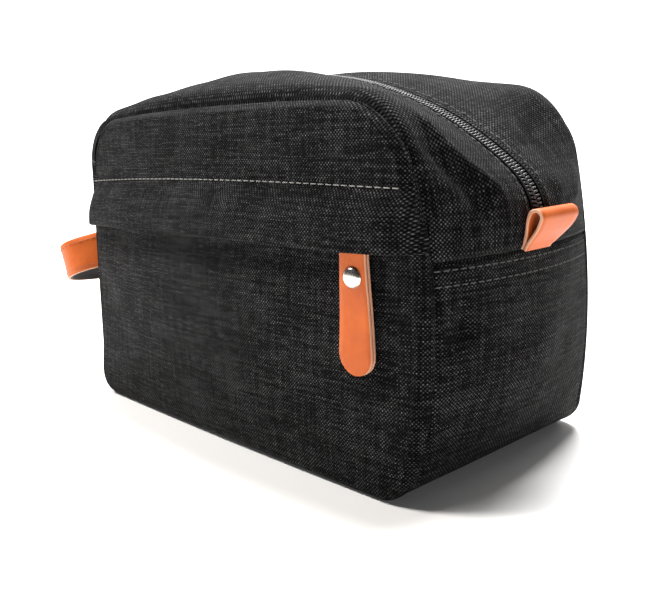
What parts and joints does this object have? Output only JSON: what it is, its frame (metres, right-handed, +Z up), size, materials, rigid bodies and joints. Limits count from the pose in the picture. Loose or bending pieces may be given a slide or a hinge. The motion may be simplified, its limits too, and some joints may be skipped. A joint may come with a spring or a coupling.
{
  "type": "shaving kit bag",
  "caption": "Soft box-shaped wash bag with a curved top zip, a flapped front zip pocket, tan leather zip pulls, an end tab and a side carry strap.",
  "frame": {"origin": "centre of the flat bottom, on the surface that the bag stands on", "axes": "+X along the length towards the end with the folded tab, -Y towards the front with the pocket, +Z up"},
  "size_m": [0.3057, 0.1316, 0.1601],
  "materials": {
    "charcoal_fabric": "heathered plain weave, matt",
    "lining_fabric": "smooth nylon lining",
    "binding_tape": "ribbed woven tape",
    "zip_coil": "satin nylon coil",
    "tan_leather": "smooth, light sheen",
    "black_backing": "matt backing",
    "nickel": "polished nickel plate"
  },
  "bodies": {
    "bag": {"front_panel_lower": "charcoal_fabric", "front_panel_middle": "charcoal_fabric", "end_gusset_front_left": "charcoal_fabric", "end_gusset_front_right": "charcoal_fabric", "end_gusset_back_left": "charcoal_fabric", "end_gusset_back_right": "charcoal_fabric", "back_panel_lower": "charcoal_fabric", "lower_gusset": "charcoal_fabric", "pocket_lining": "lining_fabric", "lining_front_lower": "lining_fabric", "lining_back_lower": "lining_fabric", "lining_gusset_lower": "lining_fabric", "seam_binding_front_lower": "binding_tape", "seam_binding_back_lower": "binding_tape", "end_tab": "tan_leather", "pocket_zip_tape_upper": "binding_tape", "pocket_zip_tape_lower": "binding_tape", "pocket_zip_coil_upper": "zip_coil", "pocket_zip_coil_lower": "zip_coil"},
    "mouth_front": {"front_panel_upper": "charcoal_fabric", "upper_gusset_front": "charcoal_fabric", "lining_front_upper": "lining_fabric", "lining_gusset_front": "lining_fabric", "seam_binding_front_upper": "binding_tape", "main_zip_tape_front": "binding_tape", "main_zip_coil_front": "zip_coil"},
    "mouth_back": {"back_panel_upper": "charcoal_fabric", "upper_gusset_back": "charcoal_fabric", "lining_back_upper": "lining_fabric", "lining_gusset_back": "lining_fabric", "seam_binding_back_upper": "binding_tape", "main_zip_tape_back": "binding_tape", "main_zip_coil_back": "zip_coil"},
    "flap": {"pocket_flap": "charcoal_fabric"},
    "main_slider": {"main_zip_slider": "nickel"},
    "main_puller": {"main_zip_puller": "nickel", "main_pull_leather": "tan_leather", "main_pull_rivet": "nickel"},
    "pocket_slider": {"pocket_zip_slider": "nickel"},
    "pocket_link": {"pocket_zip_puller": "nickel"},
    "pocket_pull": {"pocket_pull_leather": "tan_leather", "pocket_pull_rivet": "nickel"},
    "handle": {"handle_strap_leather": "tan_leather", "handle_strap_backing": "black_backing"}
  },
  "joints": [
    {"name": "mouth_front_open", "type": "hinge", "parent": "bag", "child": "mouth_front", "pos_m": [0, -0.0615, 0.124], "axis": [1, 0, 0], "range_deg": [0, 35], "deforming": ["main_zip_tape_front", "main_zip_coil_front", "seam_binding_front_upper", "lining_gusset_front"]},
    {"name": "mouth_back_open", "type": "hinge", "parent": "bag", "child": "mouth_back", "pos_m": [0, 0.0615, 0.124], "axis": [-1, 0, 0], "range_deg": [0, 35], "deforming": ["main_zip_tape_back", "main_zip_coil_back", "seam_binding_back_upper", "lining_gusset_back"]},
    {"name": "flap_lift", "type": "hinge", "parent": "bag", "child": "flap", "pos_m": [0, -0.062, 0.116], "axis": [-1, 0, 0], "range_deg": [0, 60]},
    {"name": "main_slider_travel", "type": "hinge", "parent": "bag", "child": "main_slider", "pos_m": [0, 0, -0.033], "axis": [0, 1, 0], "range_deg": [0, 74.6]},
    {"name": "main_pull_lift", "type": "hinge", "parent": "main_slider", "child": "main_puller", "pos_m": [-0.11958, 0, 0.12199], "axis": [0, 1, 0], "range_deg": [0, 60]},
    {"name": "pocket_slider_travel", "type": "hinge", "parent": "bag", "child": "pocket_slider", "pos_m": [0, 0.757, 0.1], "axis": [0, 0, 1], "range_deg": [-12.8, 0]},
    {"name": "pocket_link_swing", "type": "hinge", "parent": "pocket_slider", "child": "pocket_link", "pos_m": [0.09233, -0.05949, 0.09867], "axis": [0.1028, -0.9947, 0], "range_deg": [-18, 18]},
    {"name": "pocket_pull_lift", "type": "hinge", "parent": "pocket_link", "child": "pocket_pull", "pos_m": [0.09233, -0.05949, 0.09307], "axis": [-0.9947, -0.1028, 0], "range_deg": [0, 10]},
    {"name": "handle_swing", "type": "hinge", "parent": "bag", "child": "handle", "pos_m": [-0.127, 0, 0.075], "axis": [0, 1, 0], "range_deg": [-35, 25]}
  ]
}
